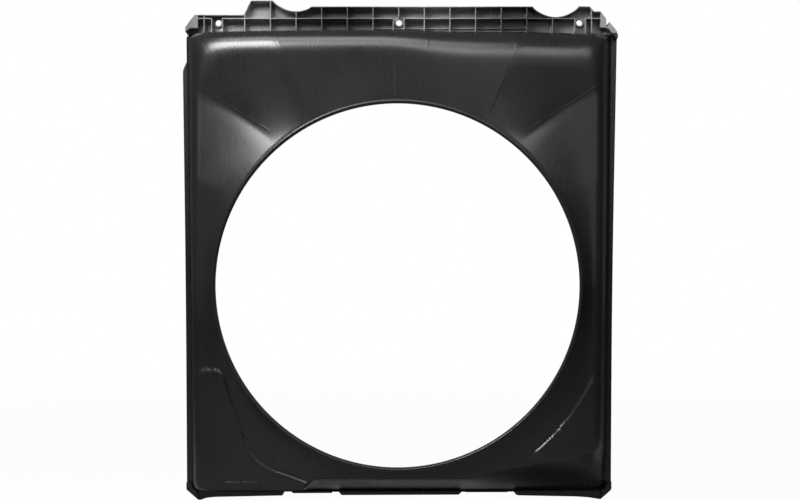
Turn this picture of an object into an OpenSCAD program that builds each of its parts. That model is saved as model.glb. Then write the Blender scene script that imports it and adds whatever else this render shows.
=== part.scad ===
// Radiator fan shroud: one moulded hood that ducts air from the back of a radiator to a fan.
// X is the width, +Z is up and -Y points to the fan. The origin is the middle of the fan ring.

/* [Fan ring] */
// Inner diameter of the ring that the fan turns in
ring_d = 860; // [820:1:870]
// Length of the ring along the fan's axis
ring_len = 26; // [24:1:40]
// Radius of the bead round the ring's free end
bead_r = 3.5; // [2.5:0.5:5]
// Radius of the fillet between the ring and the hood's face
ring_fillet = 8; // [4:1:12]

/* [Hood] */
// Wall of the moulding
wall = 3; // [2.5:0.1:3.5]
// From the hood's face at the ring to the plane that lies against the radiator
hood_depth = 161; // [140:1:200]
// From the ring up to the hood's top wall
top_land = 188; // [170:1:210]
// From the ring down to the hood's bottom wall
bottom_land = 76; // [70:1:90]
// How far the side walls lean in over the depth
draft_side = 30; // [20:1:34]
// How far the top wall leans in over the depth
draft_top = 8; // [4:1:16]
// How far the bottom wall slopes in over the depth
draft_bottom = 49; // [40:1:54]
// How far the bottom wall slopes in at the lower left corner
draft_left = 21; // [14:1:26]
// Setback of the rounded shoulder along the sides
shoulder_side = 22; // [16:1:24]
// Setback of the rounded shoulder along the top
shoulder_top = 60; // [40:1:70]
// How far the face falls back towards the upper corners
corner_fall = 36; // [10:1:45]
// How far the lower corner plateaus stand out of the face
plateau_rise = 5; // [2:0.5:8]
// From the ring out to the step round the lower right plateau
plateau_land = 81; // [70:1:90]
// How far the small bar at the lower left stands out of its plateau
bar_rise = 2; // [1:0.5:3]

/* [Flange] */
// From the ring out to the flange's edge, at the level of the hood's top wall
side_land = 107.5; // [104:0.5:110]
// How much narrower the flange is at the level of the hood's bottom wall
side_taper = 26.5; // [20:0.5:32]
// How far the flange's upper end is set over to the right
flange_shift = 2; // [0:0.5:3]
// Width of the strip between the flange's edge and the hood's side wall
flange_strip = 15; // [12:1:16]
// How far the bottom edge hangs below the hood's bottom wall
flange_drop = 14; // [10:1:18]
// Depth of the relief in the upper left edge
relief_depth = 12.5; // [6:0.5:12.5]
// Height of that relief
relief_h = 92; // [80:1:100]
// How far the thick lugs in the lower corners stand out of the flange
lug_h = 9; // [5:1:14]

/* [Top rail] */
// Height of the rail's long edge above the hood's top wall
rail_h = 67; // [62:1:80]
// Height of the tall tab above the rail's long edge
tab_rise = 15; // [8:1:20]
// Drop from the long edge to the low edge on the left
low_drop = 20; // [14:1:24]
// How far the lip and the ribs stand out of the rail's web
rib_depth = 30; // [20:1:34]
// Thickness of the ribs
rib_t = 2.6; // [2:0.1:3]
// Distance between two upright ribs
rib_pitch = 63; // [60:1:64]
// Height of the long level rib above the hood's top wall
level_rise = 36; // [34:0.5:40]
// Height of the bolt holes above the hood's top wall
hole_rise = 31; // [29:0.5:32]
// Diameter of the bolt holes
hole_d = 15; // [11:0.5:16]
// From the flange's edge in to the outer bolt holes
hole_inset = 91.5; // [88:0.5:94]
// Half the clear width of the box round a bolt hole
boss_half = 12; // [11:0.5:14]
// Height of the round pad that the bolt's head bears on
pad_h = 6; // [4:0.5:10]

/* [Hidden] */

$fn = 96;
// Steps of the radius along the ring, in degrees, and points in each rounded corner
turn_step = 4;
bend_n = 5;
shoulder_n = 5;
// How far a piece runs into its neighbour, so that the two are one
bite = 1;

ring_r = ring_d / 2;
ring_back = ring_len / 2;
face_y = ring_back - bite - wall;
back_y = face_y + hood_depth;
face_start = ring_r + wall + ring_fillet + 4;
plateau_r = ring_r + plateau_land;

hood_top = ring_r + top_land;
hood_bottom = ring_r + bottom_land;
top_half = ring_r + side_land;
low_half = top_half - side_taper / 2;

rail_foot = hood_top - 0.8 * wall;
rail_top = hood_top + rail_h;
level_rib_z = hood_top + level_rise;
hole_z = hood_top + hole_rise;
hole_x = top_half - hole_inset;
// The ribs beyond the outer bolt holes and the ends of the rail's web, [left, right]
end_ribs = [-hole_x - 32, hole_x + 28];
rail_ends = [-hole_x - 47, hole_x + 49];
ledge_z = hood_top + 15;
ledge_h = 5;

// Half the moulding's width at a height
function rise_share(z) = (z + hood_bottom) / (hood_top + hood_bottom);
function half_at(z) = low_half + (top_half - low_half) * rise_share(z);
function base_half(z) = half_at(z) - flange_strip;
function edge_half(z) = base_half(z) - draft_side;
function face_half(z) = edge_half(z) - shoulder_side;

// A corner b between a and c, rounded by a curve that starts d before it
function unit(v) = v / norm(v);
function bend(a, b, c, d, n) = d == 0 ? [b] : let (s = b + unit(a - b) * d, e = b + unit(c - b) * d)
    [for (i = [0 : n]) let (k = i / n) (1 - k) * (1 - k) * s + 2 * k * (1 - k) * b + k * k * e];
// Corners are [x, z, d], where d is the setback of the corner's curve
function xz(p) = [p.x, p.y];
function soften(c, n = bend_n) = let (m = len(c))
    [for (i = [0 : m - 1]) each bend(xz(c[(i + m - 1) % m]), xz(c[i]), xz(c[(i + 1) % m]), c[i].z, n)];

// The hood's three contours: the wall's foot, the sharp edge before rounding, and the face's rim
base_contour = soften([
    [-base_half(-hood_bottom), -hood_bottom, 18], [base_half(-hood_bottom), -hood_bottom, 18],
    [base_half(hood_top), hood_top, 13], [-base_half(hood_top), hood_top, 13]]);

edge_top = hood_top - draft_top;
edge_low = draft_bottom - hood_bottom;
edge_left_low = draft_left - hood_bottom;
// Where the hood's lower edge steps, from left to right, and how far it rises to the right of them
steps_x = [-222, -198, 180, 210, low_half - 156.25];
steps_z = [13, 45, 66];
edge_contour = soften([
    [-edge_half(edge_left_low), edge_left_low, 24],
    [steps_x[0], edge_left_low, 12], [steps_x[1], edge_low, 12],
    [steps_x[2], edge_low, 14], [steps_x[3], edge_low + steps_z[0], 14],
    [steps_x[4], edge_low + steps_z[1], 30],
    [edge_half(edge_low + steps_z[2]), edge_low + steps_z[2], 30],
    [edge_half(edge_top), edge_top, 26], [-edge_half(edge_top), edge_top, 26]]);

// The narrow rounding along the hood's lower edge: how far up and how far left of the edge
ridge = 8;
lag = 2;
face_low = edge_low + ridge;
face_left_low = edge_left_low + ridge;
face_top = edge_top - shoulder_top;
face_contour = soften([
    [-face_half(edge_left_low), face_left_low, 24],
    [steps_x[0] - lag, face_left_low, 12], [steps_x[1] - lag, face_low, 12],
    [steps_x[2] - lag, face_low, 14], [steps_x[3] - lag, face_low + steps_z[0], 14],
    [steps_x[4] - lag, face_low + steps_z[1], 30],
    [face_half(edge_low + steps_z[2]), face_low + steps_z[2], 30],
    [face_half(face_top), face_top, 70], [-face_half(face_top), face_top, 110]]);

// Distance from the ring's axis to a contour along the direction a
function hit(p, q, a) = let (d = [cos(a), sin(a)], e = q - p, den = cross(d, e))
    abs(den) < 1e-9 ? 0 : let (t = cross(p, e) / den, u = cross(p, d) / den)
    u >= -1e-6 && u <= 1 + 1e-6 ? t : 0;
function reach(c, a) = max([for (i = [0 : len(c) - 1]) hit(c[i], c[(i + 1) % len(c)], a)]);

// The directions at which a plateau starts or ends
plateau_turns = [202.5, 205.5, 250, 307, 311, 333, 338];

// The directions in which the hood is drawn: even steps, and the corner points of its contours
function angle_of(p) = (atan2(p.y, p.x) + 360) % 360;
function snap(a) = round(2 * a) / 2 % 360;
function sorted(v) = len(v) < 2 ? v : let (m = v[floor(len(v) / 2)])
    concat(sorted([for (x = v) if (x < m) x]), [m], sorted([for (x = v) if (x > m) x]));
turns = sorted(concat([for (a = [0 : turn_step : 359]) a], plateau_turns,
    [for (p = concat(base_contour, edge_contour, face_contour)) snap(angle_of(p))]));

// How far the face's rim lies behind the face at the ring, by direction
crease_turns = [[0, 8], [28, 16], [44, corner_fall], [63, 2], [90, 0], [117, 2], [136, corner_fall],
    [152, 16], [180, 8], [205, 12], [240, 6], [270, 0], [300, 4], [320, 12], [340, 10], [360, 8]];
function rim_fall(a) = lookup(a, crease_turns);
// Radius of the step in front of the lower corner plateaus, by direction
left_step = [[200, 32], [207, 33], [214, 45], [221, 64], [226, 88], [230, 101], [234, 102],
    [241, 86], [249, 81]];
function step_r(a) = a > 195 && a < 250 ? ring_r + lookup(a, left_step) : plateau_r;
// The part of the plateaus' height that is reached in a direction
function rise(a) = plateau_rise
    * (a < 300 ? lookup(a, [[202.5, 0], [205.5, 1], [244, 1], [250, 0]])
               : lookup(a, [[307, 0], [311, 1], [333, 1], [338, 0]]));

// One section of the hood's outer skin in the direction a, from the ring out to the wall's foot
function mix(p, q, t) = p + (q - p) * t;
function skin(a) = let (
    f = reach(face_contour, a), c = reach(edge_contour, a), b = reach(base_contour, a),
    span = f - face_start, s = min(step_r(a), face_start + 0.8 * span), h = min(3, 0.08 * span),
    rows = [face_start, mix(face_start, s - h, 0.5), s - h, s + h, mix(s + h, f, 0.25),
        mix(s + h, f, 0.6), f],
    y_at = function (r) face_y + rim_fall(a) * (1 - pow(1 - (r - face_start) / span, 1.7))
        - (r > s ? rise(a) : 0),
    edge = [c, y_at(f)], foot = [b, back_y - bite],
    along = min(0.8, (c - f) / norm(foot - edge)))
    concat([[ring_r + wall / 2, face_y]], [for (r = rows) [r, y_at(r)]],
        [for (i = [1 : shoulder_n]) let (k = i / shoulder_n)
            mix(mix([f, edge.y], edge, k), mix(edge, mix(edge, foot, along), k), k)],
        [foot]);

// The same section moved inwards by the wall
function normal_at(s, i) = let (p = s[max(i - 1, 0)], q = s[min(i + 1, len(s) - 1)], d = unit(q - p))
    [-d.y, d.x];
function lining(s) = [for (i = [0 : len(s) - 1])
    i == 0 ? s[0] + [0, wall]
    : i == len(s) - 1 ? s[i] - [wall * 1.05, 0]
    : s[i] + normal_at(s, i) * wall];

module hood() {
    n = len(turns);
    sections = [for (a = turns) let (s = skin(a), t = lining(s), m = len(s))
        concat(s, [for (j = [m - 1 : -1 : 0]) t[j]])];
    m = len(sections[0]);
    points = [for (i = [0 : n - 1]) for (p = sections[i])
        [p.x * cos(turns[i]), p.y, p.x * sin(turns[i])]];
    faces = [for (i = [0 : n - 1]) for (j = [0 : m - 1])
        let (p = i * m + j, q = i * m + (j + 1) % m,
            r = ((i + 1) % n) * m + j, s = ((i + 1) % n) * m + (j + 1) % m)
        each [[p, s, q], [p, r, s]]];
    polyhedron(points, faces, convexity = 6);
}

// A plate drawn in X and Z: its back lies at y and it is t thick towards the fan
module plate(y, t) {
    translate([0, y, 0])
        rotate([90, 0, 0])
            linear_extrude(t)
                children();
}

// The small bar on the lower left plateau, set into the hood's face
bar_x = [-low_half + 109.25, -low_half + 203.25];
bar_h = 15;
bar_slant = 8;
// How far the plateau lies behind the hood's face there
bar_seat = 2;
module bar() {
    low = face_left_low - 2;
    front = face_y + bar_seat - bar_rise;
    plate(front + wall + bite, wall + bite)
        polygon([[bar_x[0], low], [bar_x[1], low], [bar_x[1] - bar_slant, low + bar_h],
            [bar_x[0] + bar_slant, low + bar_h]]);
}

// Section of the ring: straight bore, round bead at the free end and fillet at the face
function arc(c, r, from, to, n) = [for (i = [0 : n]) let (a = from + (to - from) * i / n)
    c + r * [cos(a), sin(a)]];
module ring() {
    free = ring_back;
    face = -face_y;
    bead = arc([ring_r + bead_r, free - bead_r], bead_r, 180, -98, 14);
    fillet = arc([ring_r + wall + ring_fillet, face + ring_fillet], ring_fillet, 180, 250, 6);
    last = fillet[len(fillet) - 1];
    rotate([90, 0, 0])
        rotate_extrude($fn = 180)
            polygon(concat([[ring_r, -ring_back]], bead, fillet,
                [[last.x, face - wall / 2], [ring_r + wall, face - wall / 2],
                 [ring_r + wall, -ring_back]]));
}

// The outline of the flange and of the rail above it, clockwise from the lower left corner
low_edge = rail_top - low_drop;
right_edge = rail_top - 11.5;
flange_low = -hood_bottom - flange_drop;
foot_low = -hood_bottom;
// The flange's edges at a height
function left_at(z) = flange_shift * rise_share(z) - half_at(z);
function right_at(z) = flange_shift * rise_share(z) + half_at(z);
// A dip in the rail's edge: n steps from x, w wide, from the height z_a to z_b and drop deep
function dip(x, w, z_a, z_b, drop, n) = [for (i = [0 : n]) let (k = i / n)
    [x + w * k, z_a + (z_b - z_a) * k - drop * pow(sin(180 * k), 0.75), 0]];
// How far the flange's left and right edges curve in halfway up, and the length of that curve's half
waist = [2, 3.5];
waist_bend = 240;
// Where the tall tab's flanks meet the low edge and its own top
tab_foot = -top_half + 157;
tab_flat = [-top_half + 174, -top_half + 229];
// The stepped bottom edge: [distance from the middle, height above the flange's lowest line]
step_left = [[142, 1], [150, 10.5], [163, 11.5], [166, 6.2], [262, 5.6], [268, 11.7], [282, 11.7],
    [288, 0], [low_half - 69.25, -3.5], [low_half - 47.25, -6]];
step_right = [[low_half - 54.25, -4.5], [low_half - 84.25, -2.5], [296, 0.3], [290, 2], [280, 14],
    [272, 14], [268, 8.2], [166, 8.2], [157, 10.5], [148, 2]];

module outline() {
    relief_top = hood_top + 6;
    relief_low = relief_top - relief_h;
    relief_x = left_at(relief_low) + relief_depth;
    corner_low = [[-low_half + 32, flange_low - 11.5, 2], [-low_half - 0.5, foot_low + 2, 4],
        [-low_half, foot_low + 17, 3], [left_at(foot_low + 28), foot_low + 28, 2]];
    relief = [[left_at(0) + waist[0], 0, waist_bend], [left_at(relief_low), relief_low, 6],
        [relief_x - 1, relief_low + 26, 8], [relief_x, relief_top - 24, 8],
        [relief_x - 1.5, relief_top - 4, 2]];
    corner_left = [[relief_x - 2.5, low_edge - 31, 2], [relief_x + 3, low_edge - 24.5, 1],
        [relief_x + 6.5, low_edge - 18, 2], [relief_x + 21, low_edge, 4], [tab_foot, low_edge, 2]];
    tab = [[tab_flat[0], rail_top + tab_rise, 3], [tab_flat[1], rail_top + tab_rise, 3]];
    corner_right = [[top_half - 68, rail_top + 0.5, 2], [top_half - 58, right_edge, 2],
        [top_half - 42, right_edge, 3], [top_half - 27.5, right_edge - 18, 2],
        [top_half - 27.5, right_edge - 37, 2], [top_half - 24, right_edge - 37.5, 1],
        [top_half - 20.5, right_edge - 25, 1], [top_half - 1, right_edge - 49, 4],
        [top_half + 2, right_edge - 61, 6], [top_half + 1.7, right_edge - 70, 3]];
    right_low = [[right_at(0) - waist[1], 0, waist_bend], [right_at(foot_low + 28), foot_low + 28, 2],
        [low_half + 1, foot_low + 17, 3], [low_half + 1, foot_low + 2, 4],
        [low_half - 27, flange_low - 9, 3]];
    corners = concat(corner_low, relief, corner_left, tab,
        dip(tab_flat[1] + 2.5, 91, rail_top + 12, rail_top, 17, 10),
        dip(top_half - 208.5, 113, rail_top, rail_top + 0.5, 26, 12), corner_right, right_low,
        [for (p = step_right) [p.x, flange_low + p.y, 0.5]],
        [for (p = step_left) [-p.x, flange_low + p.y, 0.5]]);
    polygon(soften(corners, 3));
}

// The boxed pads in the rail's upper corners, [left, right], and the hollows behind them
pad_left = [[rail_ends[0], hood_top + 14], [rail_ends[0], rail_top], [-top_half - 40, rail_top],
    [-top_half - 40, hood_top - 42], [-top_half + 25, hood_top + 14]];
pad_right = [[rail_ends[1], hood_top + 16], [rail_ends[1], rail_top], [top_half + 40, rail_top],
    [top_half + 40, hood_top - 56], [top_half - 23, hood_top + 14]];
module pad_area(corners) {
    intersection() {
        outline();
        polygon(corners);
    }
}
module pads() {
    plate(back_y, rib_depth) {
        pad_area(pad_left);
        pad_area(pad_right);
    }
}
module pad_hollows() {
    plate(back_y + bite, rib_depth - wall + bite)
        offset(delta = -rib_t) {
            pad_area(pad_left);
            pad_area(pad_right);
        }
}

// The thick lugs in the lower corners
lug = [[low_half + 10, foot_low + 21], [low_half - 8.5, foot_low + 21], [low_half - 18, foot_low + 2],
    [low_half - 24, foot_low + 2], [low_half - 34, flange_low - 20], [low_half + 10, flange_low - 20]];
module lugs() {
    plate(back_y, wall + lug_h)
        for (side = [-1, 1])
            pad_area([for (p = lug) [side * p.x, p.y]]);
}

// The strip round the hood and the rail's web
module flange() {
    difference() {
        plate(back_y, wall)
            outline();
        plate(back_y + bite, wall + 2 * bite)
            offset(delta = -wall - bite)
                polygon(base_contour);
    }
}

// The lip along the rail's edge
module lip() {
    plate(back_y, rib_depth)
        intersection() {
            difference() {
                outline();
                offset(delta = -rib_t)
                    outline();
            }
            translate([rail_ends[0], level_rib_z])
                square([rail_ends[1] - rail_ends[0], rail_top]);
        }
}

// The upright ribs, the level rib and the boxes round the bolt holes
module upright(x, from, to) {
    translate([x - rib_t / 2, from])
        square([rib_t, to - from]);
}
module ribs() {
    sky = rail_top + 2 * tab_rise;
    last = floor((hole_x - boss_half - 2 * rib_t) / rib_pitch);
    plate(back_y, rib_depth)
        intersection() {
            outline();
            union() {
                for (i = [-last : last])
                    upright(i * rib_pitch, i == 0 ? hole_z + boss_half : rail_foot, sky);
                for (x = end_ribs)
                    upright(x, rail_foot, sky);
                for (x = [-hole_x, 0, hole_x], side = [-1, 1])
                    upright(x + side * (boss_half + rib_t / 2), rail_foot, level_rib_z + rib_t);
                difference() {
                    translate([rail_ends[0], level_rib_z])
                        square([rail_ends[1] - rail_ends[0], rib_t]);
                    for (x = [-hole_x, 0, hole_x])
                        translate([x - boss_half, level_rib_z - rib_t])
                            square([2 * boss_half, 4 * rib_t]);
                }
            }
        }
    plate(back_y, wall + ledge_h)
        translate([-rib_pitch - rib_t, ledge_z])
            square([6 * rib_pitch, rib_t]);
}

module pad_stack(d, h) {
    for (x = [-hole_x, 0, hole_x])
        translate([x, back_y + bite, hole_z])
            rotate([90, 0, 0])
                cylinder(h = h + bite, d = d);
}

module rail() {
    difference() {
        union() {
            flange();
            lip();
            ribs();
            pads();
            lugs();
            translate([0, -bite, 0])
                pad_stack(hole_d + 8, wall + pad_h - bite);
        }
        pad_hollows();
        pad_stack(hole_d, rib_depth);
    }
}

module shroud() {
    color([0.07, 0.07, 0.075]) {
        hood();
        bar();
        ring();
        rail();
    }
}

shroud();
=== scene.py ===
"""Radiator fan shroud: the one-piece moulded hood with its fan ring, flange and ribbed top rail.

Every surface is worked out from the sizes of the real moulding, which stand here in millimetres,
and the meshes are in metres. X is the width, +Z is up, -Y points to the fan, and the origin is the
middle of the fan ring. Places of the camera, the lamps and the patterns are in metres.
"""

import logging
import math
from dataclasses import dataclass, field
from enum import Enum

import bmesh
import bpy
import numpy as np
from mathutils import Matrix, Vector

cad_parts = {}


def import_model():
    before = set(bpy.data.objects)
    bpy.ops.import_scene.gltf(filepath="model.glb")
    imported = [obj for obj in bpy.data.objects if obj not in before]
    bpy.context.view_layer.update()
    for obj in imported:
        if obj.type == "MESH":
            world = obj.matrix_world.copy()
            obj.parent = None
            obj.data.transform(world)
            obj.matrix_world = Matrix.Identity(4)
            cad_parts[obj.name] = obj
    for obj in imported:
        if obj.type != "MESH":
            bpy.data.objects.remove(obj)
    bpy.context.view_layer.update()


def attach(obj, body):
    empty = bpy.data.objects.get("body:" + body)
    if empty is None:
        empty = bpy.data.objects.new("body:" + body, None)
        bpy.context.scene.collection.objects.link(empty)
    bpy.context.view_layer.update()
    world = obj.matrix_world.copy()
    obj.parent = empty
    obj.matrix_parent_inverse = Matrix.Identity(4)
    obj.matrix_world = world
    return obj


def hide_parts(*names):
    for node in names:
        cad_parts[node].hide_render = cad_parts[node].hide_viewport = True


LOG = logging.getLogger("shroud")
MM = 0.001
NODE = "shroud"
BODY = "root"
WHITE = (1.0, 1.0, 1.0, 1.0)

Colour = tuple[float, float, float]


class Side(Enum):
    """Which side of the moulding a corner piece belongs to."""

    LEFT = "left"
    RIGHT = "right"


# Small tools for curves


def smoothstep(t: np.ndarray) -> np.ndarray:
    """Goes from 0 to 1 as t does, level at both ends.

    Args:
        t: any numbers; below 0 counts as 0 and above 1 as 1.

    Returns:
        3t^2 - 2t^3 of the clipped numbers.
    """
    k = np.clip(t, 0.0, 1.0)
    return k * k * (3.0 - 2.0 * k)


def bend(a: np.ndarray, b: np.ndarray, c: np.ndarray, setback: float, steps: int) -> np.ndarray:
    """Rounds the corner b between a and c.

    The curve is the parabola with its ends on the two legs, setback away from the corner, and the
    corner itself as its control point.

    Args:
        a: point before the corner.
        b: the corner.
        c: point after it.
        setback: distance from the corner to each end of the curve; 0 keeps the corner sharp.
        steps: number of intervals along the curve.

    Returns:
        Points along the curve, one per row.
    """
    if setback == 0:
        return b[None, :]
    start = b + (a - b) / np.linalg.norm(a - b) * setback
    end = b + (c - b) / np.linalg.norm(c - b) * setback
    k = np.linspace(0.0, 1.0, steps + 1)[:, None]
    return parabola(start, b, end, k)


def parabola(
    start: np.ndarray, control: np.ndarray, end: np.ndarray, k: np.ndarray
) -> np.ndarray:
    """Goes from start to end on a parabola that heads for the control point.

    Args:
        start: value at k = 0.
        control: value that the ends' tangents meet at.
        end: value at k = 1.
        k: how far along, from 0 to 1.

    Returns:
        (1 - k)^2 start + 2k(1 - k) control + k^2 end.
    """
    return (1 - k) ** 2 * start + 2 * k * (1 - k) * control + k**2 * end


def soften(corners: list[tuple[float, float, float]], steps: int) -> np.ndarray:
    """Turns corners given as (x, z, setback) into one closed rounded contour.

    Args:
        corners: the corners in order, in millimetres.
        steps: intervals in each rounded corner.

    Returns:
        The contour's points, one per row, in millimetres.
    """
    table = np.array(corners, float)
    points = table[:, :2]
    before, after = np.roll(points, 1, axis=0), np.roll(points, -1, axis=0)
    parts = [
        bend(before[i], points[i], after[i], table[i, 2], steps) for i in range(len(points))
    ]
    return np.vstack(parts)


def reach(contour: np.ndarray, angles: np.ndarray) -> np.ndarray:
    """Distance from the ring's axis to a contour along each direction.

    Each contour edge is crossed with each ray, and the farthest crossing counts.

    Args:
        contour: closed contour, one point per row.
        angles: directions in radians.

    Returns:
        One distance per direction.
    """
    ray = np.stack([np.cos(angles), np.sin(angles)], axis=1)[:, None, :]
    start = contour[None, :, :]
    edge = np.roll(contour, -1, axis=0)[None, :, :] - start
    den = ray[..., 0] * edge[..., 1] - ray[..., 1] * edge[..., 0]
    den = np.where(np.abs(den) < 1e-12, 1e-12, den)
    along = (start[..., 0] * edge[..., 1] - start[..., 1] * edge[..., 0]) / den
    where = (start[..., 0] * ray[..., 1] - start[..., 1] * ray[..., 0]) / den
    good = (where >= -1e-6) & (where <= 1 + 1e-6)
    return np.where(good, along, 0.0).max(axis=1)


def resample(path: np.ndarray, spacing: float, closed: bool) -> np.ndarray:
    """Points along a polyline at an even spacing, with its own corners kept.

    Each edge is divided into as many equal parts as its length over the spacing, rounded up.

    Args:
        path: the polyline, one point per row.
        spacing: greatest distance between two points.
        closed: whether the last point joins the first.

    Returns:
        The denser polyline.
    """
    ends = np.vstack([path[1:], path[:1]]) if closed else path[1:]
    starts = path if closed else path[:-1]
    counts = np.maximum(1, np.ceil(np.linalg.norm(ends - starts, axis=1) / spacing)).astype(int)
    edge = np.repeat(np.arange(len(starts)), counts)
    step = np.arange(counts.sum()) - np.repeat(np.cumsum(counts) - counts, counts)
    points = starts[edge] + (ends - starts)[edge] * (step / counts[edge])[:, None]
    return points if closed else np.vstack([points, path[-1:]])


def left_normals(path: np.ndarray, closed: bool) -> np.ndarray:
    """Unit normals on the left of a polyline, mitred at its points.

    Args:
        path: the polyline, one point per row.
        closed: whether the last point joins the first.

    Returns:
        One normal per point, lengthened at corners so that an offset keeps its width.
    """
    if closed:
        back, ahead = np.roll(path, 1, axis=0), np.roll(path, -1, axis=0)
        into, out = path - back, ahead - path
    else:
        step = np.diff(path, axis=0)
        into, out = np.vstack([step[:1], step]), np.vstack([step, step[-1:]])
    into /= np.linalg.norm(into, axis=1)[:, None]
    out /= np.linalg.norm(out, axis=1)[:, None]
    n_in = np.stack([-into[:, 1], into[:, 0]], axis=1)
    n_out = np.stack([-out[:, 1], out[:, 0]], axis=1)
    mid = n_in + n_out
    mid /= np.linalg.norm(mid, axis=1)[:, None]
    return mid / np.maximum((mid * n_in).sum(axis=1), 0.5)[:, None]


# Meshes


def grid_faces(rows: int, columns: int, wrap_rows: bool, wrap_columns: bool) -> np.ndarray:
    """Quads of a grid of points numbered row by row.

    Args:
        rows: number of rows.
        columns: number of columns.
        wrap_rows: whether the last row joins the first.
        wrap_columns: whether the last column joins the first.

    Returns:
        Four point numbers per quad.
    """
    i = np.arange(rows if wrap_rows else rows - 1)
    j = np.arange(columns if wrap_columns else columns - 1)
    ii, jj = np.meshgrid(i, j, indexing="ij")
    up, right = (ii + 1) % rows, (jj + 1) % columns
    quads = [ii * columns + jj, up * columns + jj, up * columns + right, ii * columns + right]
    return np.stack([q.ravel() for q in quads], axis=1)


def mesh_object(
    name: str, points: np.ndarray, faces: list | np.ndarray, sharp: float
) -> bpy.types.Object:
    """Makes a smooth-shaded object from points in millimetres.

    Args:
        name: the piece's name.
        points: one point per row, in millimetres.
        faces: point numbers of each face.
        sharp: edges that turn by more than this many degrees stay crisp.

    Returns:
        The object, at the origin.
    """
    mesh = bpy.data.meshes.new(name)
    rows = faces.tolist() if isinstance(faces, np.ndarray) else faces
    mesh.from_pydata((points * MM).tolist(), [], rows)
    mesh.validate()
    mesh.polygons.foreach_set("use_smooth", np.ones(len(mesh.polygons), bool))
    mesh.set_sharp_from_angle(angle=math.radians(sharp))
    mesh.update()
    obj = bpy.data.objects.new(name, mesh)
    bpy.context.scene.collection.objects.link(obj)
    return obj


def volume_of(points: np.ndarray, quads: np.ndarray) -> float:
    """Signed volume of a closed mesh of quads.

    Each quad is two triangles a, b, c and a, c, d, and the volume is the sum over all triangles of
    a . (b x c) / 6.

    Args:
        points: one point per row.
        quads: four point numbers per row.

    Returns:
        The volume, below zero for a mesh that is inside out.
    """
    a, b, c, d = (points[quads[:, k]] for k in range(4))
    first = np.einsum("ij,ij->i", a, np.cross(b, c)).sum()
    second = np.einsum("ij,ij->i", a, np.cross(c, d)).sum()
    return float(first + second) / 6.0


def outward(points: np.ndarray, quads: np.ndarray) -> np.ndarray:
    """Turns the quads round if the closed mesh that they make is inside out."""
    return quads if volume_of(points, quads) > 0 else quads[:, ::-1]


def carried(
    line: np.ndarray, across: np.ndarray, section: list[tuple[float, float]]
) -> np.ndarray:
    """Carries a section along a line.

    The point of line point i and section point j is line i + across i times the section's offset j
    in X and Z, at the section's depth j.

    Args:
        line: the line's points in X and Z, one per row.
        across: the direction of the section's offsets at each of them.
        section: offset and depth of each point of the section.

    Returns:
        The points, section by section.
    """
    offset, depth = np.array(section).T
    place = line[:, None, :] + across[:, None, :] * offset[None, :, None]
    depths = np.broadcast_to(depth, place.shape[:2])
    return np.stack([place[..., 0], depths, place[..., 1]], axis=2).reshape(-1, 3)


def turned(
    section: np.ndarray, x: float, z: float, turns: int
) -> tuple[np.ndarray, np.ndarray]:
    """Turns a closed section round an axis that runs from the fan to the radiator.

    The point at angle a is x + r cos a, z + r sin a at the section's own depth.

    Args:
        section: radius and depth of each point.
        x: the axis's place across the width.
        z: the axis's height.
        turns: number of sections round the axis.

    Returns:
        The points, and quads that face outwards.
    """
    a = np.linspace(0.0, 2 * math.pi, turns, endpoint=False)[:, None]
    px, pz = x + section[None, :, 0] * np.cos(a), z + section[None, :, 0] * np.sin(a)
    py = np.broadcast_to(section[None, :, 1], px.shape)
    points = np.stack([px, py, pz], axis=2).reshape(-1, 3)
    return points, outward(points, grid_faces(turns, len(section), True, True))


def apply_modifiers(obj: bpy.types.Object) -> None:
    """Replaces an object's mesh by what its modifiers make of it, and removes them.

    Args:
        obj: the object.
    """
    graph = bpy.context.evaluated_depsgraph_get()
    made = bpy.data.meshes.new_from_object(obj.evaluated_get(graph))
    obj.modifiers.clear()
    old = obj.data
    made.name = old.name
    obj.data = made
    bpy.data.meshes.remove(old)


def cut(obj: bpy.types.Object, tools: list[bpy.types.Object]) -> None:
    """Cuts closed tools out of an object and removes them.

    Args:
        obj: the object to cut.
        tools: what is taken away from it.
    """
    for tool in tools:
        cutter = obj.modifiers.new("cut", "BOOLEAN")
        cutter.operation = "DIFFERENCE"
        cutter.solver = "EXACT"
        cutter.object = tool
    apply_modifiers(obj)
    for tool in tools:
        bpy.data.objects.remove(tool)


def prism(name: str, outline: np.ndarray, y_from: float, y_to: float) -> bpy.types.Object:
    """A flat-ended solid between two depths.

    Args:
        name: the piece's name.
        outline: closed outline in X and Z, counter-clockwise seen from the fan's side.
        y_from: depth of the end nearer to the radiator.
        y_to: depth of the end nearer to the fan.

    Returns:
        The object.
    """
    count = len(outline)
    back = np.insert(outline, 1, y_from, axis=1)
    front = np.insert(outline, 1, y_to, axis=1)
    j = np.arange(count)
    sides = np.stack([j, (j + 1) % count, (j + 1) % count + count, j + count], axis=1)
    ends = [list(range(count - 1, -1, -1)), list(range(count, 2 * count))]
    obj = mesh_object(name, np.vstack([back, front]), sides.tolist() + ends, 30.0)
    flip_if_inside_out(obj)
    return obj


def round_edges(obj: bpy.types.Object, width: float) -> None:
    """Rounds an object's sharp edges.

    Args:
        obj: the object.
        width: width of the rounding, in millimetres.
    """
    edge = obj.modifiers.new("edge", "BEVEL")
    edge.width = width * MM
    edge.segments = 3
    edge.limit_method = "ANGLE"
    edge.angle_limit = math.radians(50)
    apply_modifiers(obj)


def flip_if_inside_out(obj: bpy.types.Object) -> None:
    """Makes the normals of a closed mesh point outwards.

    Args:
        obj: the object whose mesh is turned.
    """
    bm = bmesh.new()
    bm.from_mesh(obj.data)
    bmesh.ops.recalc_face_normals(bm, faces=bm.faces)
    bm.to_mesh(obj.data)
    bm.free()


# Finishes


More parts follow.
